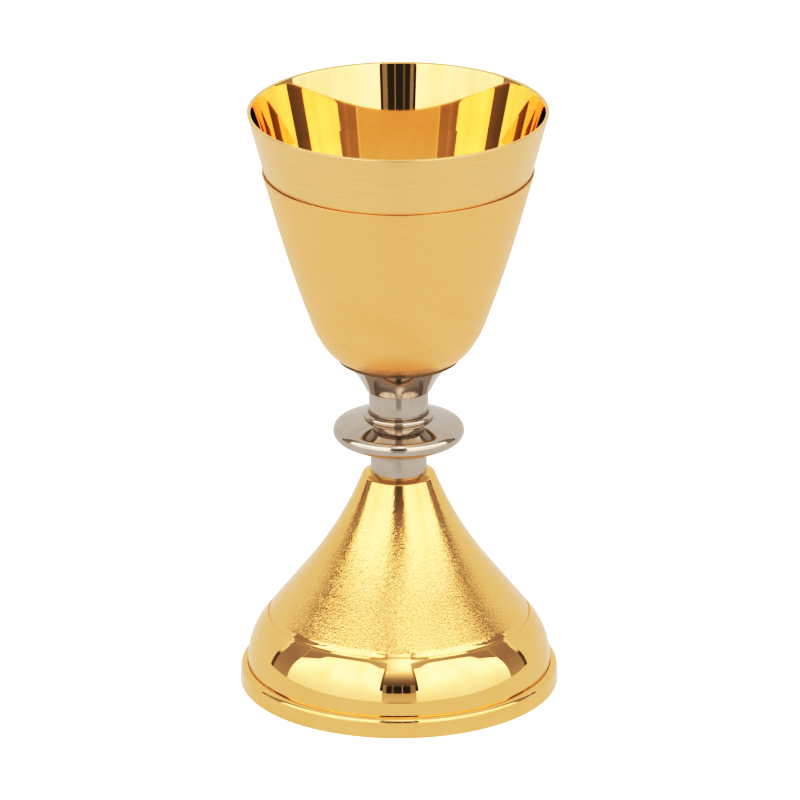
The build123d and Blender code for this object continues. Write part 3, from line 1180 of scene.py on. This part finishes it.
@dataclass
class Fastening:
    """The tie rod with its nut and washers, inside the foot."""

    rod: float = 4.0
    pitch: float = 1.25
    thread_depth: float = 0.68
    chamfer: float = 0.8
    turn_steps: int = 40
    washer_steps: int = 128
    washer: float = 8.0
    spring_washer: float = 7.2
    passage: float = 4.4
    slit: float = 1.6
    slant: float = 20.0
    flats: float = 13.0
    corner_drop: float = 0.6
    bore: float = 4.05

    def tie_rod(self) -> bpy.types.Object:
        """Screws a thread profile up the axis, closes it, and turns its ends down to chamfers.

        Returns:
            The piece.
        """
        base, top = low("tie_rod"), high("tie_rod")
        root, crest = self.rod - self.thread_depth, self.rod
        eighth, start = self.pitch / 8, base - 2 * self.pitch
        profile = [
            (root, start),
            (root, start + eighth),
            (crest, start + 3.5 * eighth),
            (crest, start + 4.5 * eighth),
            (root, start + 7 * eighth),
            (root, start + self.pitch),
        ]
        stock = drawn("tie_rod_thread", profile)
        screw = stock.modifiers.new("thread", "SCREW")
        screw.steps = screw.render_steps = self.turn_steps
        screw.screw_offset = self.pitch * MM
        screw.iterations = round((top - base) / self.pitch) + 4
        screw.use_merge_vertices = True
        screw.merge_threshold = 1e-6
        lone(stock)
        bpy.ops.object.modifier_apply(modifier=screw.name)
        bpy.ops.object.mode_set(mode="EDIT")
        bpy.ops.mesh.select_all(action="SELECT")
        bpy.ops.mesh.remove_doubles(threshold=1e-6)
        for height, side in ((base - 0.2, -1.0), (top + 0.2, 1.0)):
            bpy.ops.mesh.select_all(action="SELECT")
            place, normal = (0.0, 0.0, height * MM), (0.0, 0.0, side)
            bpy.ops.mesh.bisect(plane_co=place, plane_no=normal, use_fill=True, clear_outer=True)
        bpy.ops.mesh.select_all(action="SELECT")
        bpy.ops.mesh.normals_make_consistent(inside=False)
        bpy.ops.object.mode_set(mode="OBJECT")
        tip = crest - self.chamfer
        blank = [
            (0.0, base),
            (tip, base),
            (crest + 0.01, base + self.chamfer),
            (crest + 0.01, top - self.chamfer),
            (tip, top),
            (0.0, top),
        ]
        return smoothed(boolean(stock, spun("blank", blank, closed=False, steps=64), "INTERSECT"))

    def flat_washer(self) -> bpy.types.Object:
        """Spins the bearing washer, rounded where the punch drew it in.

        Returns:
            The piece.
        """
        base, top = low("bearing_washer"), high("bearing_washer")
        inner, outer = self.passage, self.washer
        points = [(inner, base), (outer, base), (outer, top), (inner, top)]
        punched = eased(points, {0: 0.15, 1: 0.3, 2: 0.08})
        return smoothed(spun("bearing_washer_disc", punched, steps=self.washer_steps))

    def split_washer(self) -> bpy.types.Object:
        """Spins the spring washer and saws its slanting slit.

        Returns:
            The piece.
        """
        base, top = low("spring_washer"), high("spring_washer")
        radius = self.spring_washer
        points = [(self.passage, base), (radius, base), (radius, top), (self.passage, top)]
        rolled = eased(points, dict.fromkeys(range(4), 0.12))
        ring = spun("spring_washer_coil", rolled, steps=self.washer_steps)
        bpy.ops.object.select_all(action="DESELECT")
        size = (2 * radius * MM, self.slit * MM, 3 * (top - base) * MM)
        middle = (radius * MM, 0.0, (base + top) / 2 * MM)
        bpy.ops.mesh.primitive_cube_add(size=1.0, location=middle)
        saw = bpy.context.active_object
        saw.scale = size
        saw.rotation_euler = (radians(self.slant), 0.0, 0.0)
        bpy.ops.object.transform_apply(location=True, rotation=True, scale=True)
        return smoothed(boolean(ring, saw, "DIFFERENCE"))

    def nut(self) -> bpy.types.Object:
        """Turns a hexagon bar down to a nut with chamfered corners and a countersunk bore.

        Returns:
            The piece.
        """
        base, top = low("foot_nut"), high("foot_nut")
        flat = self.flats / 2
        corner = flat / cos(radians(30))
        bpy.ops.object.select_all(action="DESELECT")
        bpy.ops.mesh.primitive_cylinder_add(
            vertices=6,
            radius=corner * MM,
            depth=(top - base + 2) * MM,
            location=(0.0, 0.0, (base + top) / 2 * MM),
        )
        bar = bpy.context.active_object
        bar.name = bar.data.name = "foot_nut_hexagon"
        bpy.ops.object.transform_apply(location=True, rotation=True, scale=True)
        bpy.ops.object.mode_set(mode="EDIT")
        bpy.ops.mesh.select_all(action="SELECT")
        turn = Vector((0.0, 0.0, (base + top) / 2 * MM))
        bpy.ops.transform.rotate(value=radians(30), orient_axis="Z", center_override=turn)
        bpy.ops.object.mode_set(mode="OBJECT")
        drop, sink = self.corner_drop, 0.35
        blank = [
            (self.bore, base + sink),
            (self.bore + sink, base),
            (flat, base),
            (corner, base + drop),
            (corner, top - drop),
            (flat, top),
            (self.bore + sink, top),
            (self.bore, top - sink),
        ]
        return smoothed(boolean(bar, spun("blank", blank, steps=96), "INTERSECT"), 20.0)

    def build(self) -> Built:
        """Builds the four pieces."""
        return [
            (self.tie_rod(), Slot.ZINC_STEEL, ("tie_rod",)),
            (self.flat_washer(), Slot.ZINC_STEEL, ("bearing_washer",)),
            (self.split_washer(), Slot.ZINC_STEEL, ("spring_washer",)),
            (self.nut(), Slot.ZINC_STEEL, ("foot_nut",)),
        ]


# ---- Studio ---------------------------------------------------------------------------------
class Glow(Enum):
    """How a panel gives light."""

    SOFT_BOX = "soft_box"
    CAMERA_SIDE = "camera_side"
    SIDE_GAP = "side_gap"
    TOP_LIGHT = "top_light"


def grey(level: float, warmth: float = 0.0) -> Colour:
    """A grey light, or a warm one.

    Args:
        level: Its strength.
        warmth: How much green and blue it lacks.

    Returns:
        The colour.
    """
    return level, level * (1 - 0.4 * warmth), level * (1 - warmth)


# The light over a panel's height, from 0 at its foot to 1: round a soft box, in the gap behind one
# and at that gap's far end, and on the camera's side with its dark stand.
DUSK = (
    (0.27, grey(0.05, 0.5)),
    (0.36, grey(0.18, 0.35)),
    (0.54, grey(0.36, 0.2)),
    (0.76, grey(0.46, 0.14)),
    (1.0, grey(0.72, 0.05)),
)
GAP = ((0.0, grey(0.50, 0.12)), (0.35, grey(0.40, 0.14)), (0.7, grey(0.50, 0.1)), (1.0, grey(0.8)))
GAP_END = ((0.0, grey(0.20, 0.6)), (0.20, grey(0.18, 0.6)), (0.26, grey(0.9)), (1.0, grey(0.95)))
CAMERA_SIDE = (
    (0.0, grey(0.72, 0.1)),
    (0.20, grey(0.62, 0.1)),
    (0.23, grey(0.07, 0.5)),
    (0.38, grey(0.04, 0.5)),
    (0.44, grey(0.22, 0.3)),
    (0.62, grey(0.42, 0.2)),
    (0.82, grey(0.80, 0.05)),
    (1.0, grey(1.25)),
)
# Pale uprights on the camera's side: where each starts and ends, its blur, and its strength.
STANDS = (
    (0.57, 0.60, 0.015, 0.5),
    (0.80, 1.2, 0.04, 0.40),
    (-0.2, 0.16, 0.04, 0.42),
    (0.30, 0.36, 0.03, 0.22),
)
STAND_HEIGHT = (0.2, 0.44, 0.04)


@dataclass(frozen=True)
class Panel:
    """A panel that shows only in reflections, and faces the chalice unless `facing` turns it.

    Its azimuth and its facing are degrees from the camera's side, positive to the right.
    """

    name: str
    glow: Glow
    azimuth: float
    distance: float
    width: float
    height: float
    lift: float = 0.0
    level: float = 1.0
    facing: float | None = None

    def _colour(self, shader: Shader) -> Signal:
        """The light over the panel. It is worked out from the corner at its inner side and foot.

        Args:
            shader: The panel's shader.

        Returns:
            The colour.
        """
        place = shader.node("ShaderNodeTexCoord", {}, {}, output="Object")
        across, up = (
            shader.node("ShaderNodeSeparateXYZ", {}, {0: place}, output=axis) + 0.5 for axis in range(2)
        )
        if self.azimuth < 0:
            across = 1 - across
        if self.glow is Glow.SOFT_BOX:
            return self._soft_box(shader, place, across, up)
        if self.glow is Glow.TOP_LIGHT:
            reach = ((across - 0.5) ** 2.0 + (up - 0.5) ** 2.0) ** 0.5
            return shader.blend(reach.above(0.28, 0.45), grey(self.level), grey(0.8))
        if self.glow is Glow.SIDE_GAP:
            far = across.above(0.84, 0.05)
            return shader.blend(far, shader.ramp(up, GAP), shader.ramp(up, GAP_END))
        stands = sum(across.between(*edges) * strength for *edges, strength in STANDS)
        stands = stands * up.between(*STAND_HEIGHT)
        return shader.blend(stands, shader.ramp(up, CAMERA_SIDE), grey(1.0, 0.2))

    def _soft_box(self, shader: Shader, place: Signal, across: Signal, up: Signal) -> Signal:
        """The light of a soft box: folded cloth inside a frame whose top edge slants.

        Args:
            shader: The panel's shader.
            place: The place on the panel.
            across: How far it is from the panel's inner side.
            up: How far it is from the panel's foot.

        Returns:
            The colour.
        """
        side_edge, side_foot, top_edge, top_slope, blur = 0.024, 0.22, 0.883, 0.288, 0.012
        stretch = {"Vector": place, "Scale": (5.0, 1.6, 1.0), "Rotation": (0.0, 0.0, radians(25))}
        folds = shader.noise(shader.node("ShaderNodeMapping", {}, stretch), 1.0, 2.0)
        pale, dull = grey(self.level * 1.06), grey(self.level * 0.84, 0.08)
        cloth = shader.blend(folds.above(0.52, 0.5), pale, dull)
        cloth = shader.blend(up.above(0.2, 0.4), grey(1.05), cloth)
        beside = across.above(side_edge, blur) + (1 - up.above(side_foot, 0.06))
        beneath = 1 - (up + top_slope * across).above(top_edge, blur)
        return shader.blend(beside.above(0.5, 0.5) * beneath, shader.ramp(up, DUSK), cloth)

    def stand(self) -> None:
        """Stands the panel at its azimuth, on the floor or lifted."""
        bpy.ops.object.select_all(action="DESELECT")
        bpy.ops.mesh.primitive_plane_add(size=1.0, location=(0.0, 0.0, 0.0))
        panel = bpy.context.active_object
        panel.name = panel.data.name = self.name
        turn, lift = radians(self.azimuth), radians(self.lift)
        facing = turn if self.facing is None else radians(self.facing)
        panel.scale = (self.width, self.height, 1.0)
        panel.rotation_euler = (radians(90) - lift, 0.0, facing)
        side = Vector((sin(turn) * cos(lift), -cos(turn) * cos(lift), sin(lift)))
        standing = Vector((0.0, 0.0, 0.0 if self.lift else self.height / 2))
        panel.location = side * self.distance + standing
        panel.visible_camera = False
        panel.visible_diffuse = panel.visible_shadow = False
        material = bpy.data.materials.new(self.name)
        material.use_nodes = True
        shader = Shader(material.node_tree)
        inputs = {"Color": self._colour(shader), "Strength": 1.0}
        light = shader.node("ShaderNodeEmission", {}, inputs)
        shader.node("ShaderNodeOutputMaterial", {}, {"Surface": light})
        panel.data.materials.append(material)


@dataclass
class Studio:
    """The pale floor, the even light, the soft boxes with the gaps between them, and the camera."""

    pitch: float = 20.9
    lens: float = 427.5
    camera_distance: float = 2.74007
    aim_height: float = 86.584 * MM
    side_shift: float = 0.0017
    roll: float = -0.1
    surround: float = 0.80
    floor_light: float = 0.80
    shade_from: float = 0.226
    shade_blur: float = 0.03
    shade_spread: float = 0.17
    shade_light: Colour = grey(0.45, 0.1)
    floor_size: float = 12.0
    tone_white: float = 1.6
    tone_scale: float = 0.63
    tone_power: float = 2.05
    tone_points: int = 8
    panels: tuple[Panel, ...] = (
        Panel("camera_side", Glow.CAMERA_SIDE, 0.0, 1.2, 0.60, 1.35),
        Panel("soft_box_left", Glow.SOFT_BOX, -60.0, 0.9075, 1.5, 1.3, level=1.6, facing=-39.5),
        Panel("soft_box_right", Glow.SOFT_BOX, 60.0, 0.9075, 1.5, 1.3, level=1.6, facing=39.5),
        Panel("side_gap_left", Glow.SIDE_GAP, -101.0, 0.98, 0.35, 1.3),
        Panel("side_gap_right", Glow.SIDE_GAP, 101.0, 0.98, 0.35, 1.3),
        Panel("top_light", Glow.TOP_LIGHT, 8.0, 1.8, 1.1, 0.9, lift=56.0, level=1.7),
    )

    def light(self) -> None:
        """Fills the world with even light."""
        world = bpy.data.worlds.new("studio")
        bpy.context.scene.world = world
        world.use_nodes = True
        shader = Shader(world.node_tree)
        inputs = {"Color": (1.0, 1.0, 1.0, 1.0), "Strength": self.surround}
        sky = shader.node("ShaderNodeBackground", {}, inputs)
        shader.node("ShaderNodeOutputWorld", {}, {"Surface": sky})

    def floor(self, name: str, level: float, drop: float, shade: float = 0.0) -> bpy.types.Object:
        """Lays a pale floor.

        Args:
            name: Its name.
            level: How bright it looks.
            drop: How far under the chalice it lies, in metres.
            shade: How strongly the camera's stand shades it in front.

        Returns:
            The floor.
        """
        bpy.ops.object.select_all(action="DESELECT")
        bpy.ops.mesh.primitive_plane_add(size=self.floor_size, location=(0.0, 0.0, -drop))
        floor = bpy.context.active_object
        floor.name = floor.data.name = name
        shader = SurfaceShader(name)
        spread = abs(shader.x) / (abs(shader.y) + 1e-6)
        ahead = (0 - shader.y).above(self.shade_from, self.shade_blur)
        ahead = ahead * (1 - spread.above(self.shade_spread, 0.12))
        light = shader.blend(ahead * shade, grey(1.0), self.shade_light)
        surface = shader.node("ShaderNodeEmission", {}, {"Color": light, "Strength": level})
        shader.node("ShaderNodeOutputMaterial", {}, {"Surface": surface})
        floor.data.materials.append(shader.material)
        return floor

    def floors(self) -> None:
        """Lays the white floor that is looked at, and the duller one that the metal mirrors."""
        seen = self.floor("floor", 2.0, 0.0002)
        seen.visible_glossy = seen.visible_diffuse = seen.visible_shadow = False
        mirrored = self.floor("floor_light", self.floor_light, 0.0001, 0.6)
        mirrored.visible_camera = mirrored.visible_shadow = False

    def camera(self) -> None:
        """Places the camera on the side of -Y, above the chalice."""
        data = bpy.data.cameras.new("camera")
        data.lens, data.sensor_width, data.shift_x = self.lens, 36.0, self.side_shift
        data.clip_start, data.clip_end = 0.1, 20.0
        camera = bpy.data.objects.new("camera", data)
        bpy.context.scene.collection.objects.link(camera)
        pitch = radians(self.pitch)
        back = Vector((0.0, -cos(pitch), sin(pitch)))
        camera.location = back * self.camera_distance + Vector((0.0, 0.0, self.aim_height))
        turned = (-back).to_track_quat("-Z", "Y") @ Quaternion((0.0, 0.0, 1.0), radians(self.roll))
        camera.rotation_euler = turned.to_euler()
        bpy.context.scene.camera = camera

    def develop(self) -> None:
        """Sets the tone curve of the picture: deep shadows, and highlights that run out softly."""
        settings = bpy.context.scene.view_settings
        settings.view_transform = "Standard"
        settings.use_curve_mapping = True
        mapping = settings.curve_mapping
        mapping.white_level = (self.tone_white,) * 3
        curve = mapping.curves[3]
        for share in (number / self.tone_points for number in range(1, self.tone_points)):
            light = share * self.tone_white
            curve.points.new(share, 1 - exp(-((light / self.tone_scale) ** self.tone_power)))
        mapping.update()

    def set_up(self) -> None:
        """Builds the whole studio."""
        self.light()
        self.floors()
        for panel in self.panels:
            panel.stand()
        self.camera()
        self.develop()


# ---- The chalice ----------------------------------------------------------------------------
def brush_outside(piece: bpy.types.Object, material: bpy.types.Material) -> None:
    """Gives the outer side of a bowl its own finish.

    Args:
        piece: The bowl.
        material: The finish of its outer side.
    """
    piece.data.materials.append(material)
    for face in piece.data.polygons:
        outwards = face.normal.x * face.center.x + face.normal.y * face.center.y
        if outwards > 0.5 * face.center.xy.length:
            face.material_index = 1


def main() -> None:
    """Builds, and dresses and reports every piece."""
    logging.basicConfig(level=logging.INFO, format="%(name)s: %(message)s")
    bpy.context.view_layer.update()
    foot = Foot()
    finishes = {
        Slot.MIRROR_GILT: MirrorGilt(),
        Slot.SATIN_GILT: SatinGilt(crevice_tint_from=(high("calyx") - CREVICE_TINT_WIDTH) * MM),
        Slot.BARK_GILT: BarkGilt(foot.cone_start[1] * MM, foot.top * MM),
        Slot.NICKEL_POLISH: Nickel(),
        Slot.NICKEL_SATIN: Nickel(roughness=0.24, mark_depth=2e-6),
        Slot.RAW_BRASS: PlainMetal(RAW_BRASS),
        Slot.ZINC_STEEL: PlainMetal(ZINC),
    }
    materials = {slot: finish.dress(slot.value) for slot, finish in finishes.items()}
    for group in (foot, Stem(), Bowl(), Fastening()):
        for piece, slot, nodes in group.build():
            piece.data.materials.clear()
            piece.data.materials.append(materials[slot])
            placed(piece, slot, *nodes)
    cup = bpy.data.objects["cup_bowl"]
    cup.data.materials[0] = MirrorGilt(CUP_GILT, deep_colour=CUP_FLOOR_GILT).dress("cup_gilt")
    # The seat ring is painted dark: painted shade for the shadow line under the calyx.
    seat_ring = bpy.data.objects["seat_ring_disc"]
    seat_ring.data.materials[0] = MirrorGilt(SEAT_SHADE_BRASS, roughness=0.12).dress("seat_painted_shade")
    brush_outside(cup, BandGilt().dress("band_gilt"))
    Studio().set_up()
    bpy.context.view_layer.update()


if __name__ == "__main__":
    main()
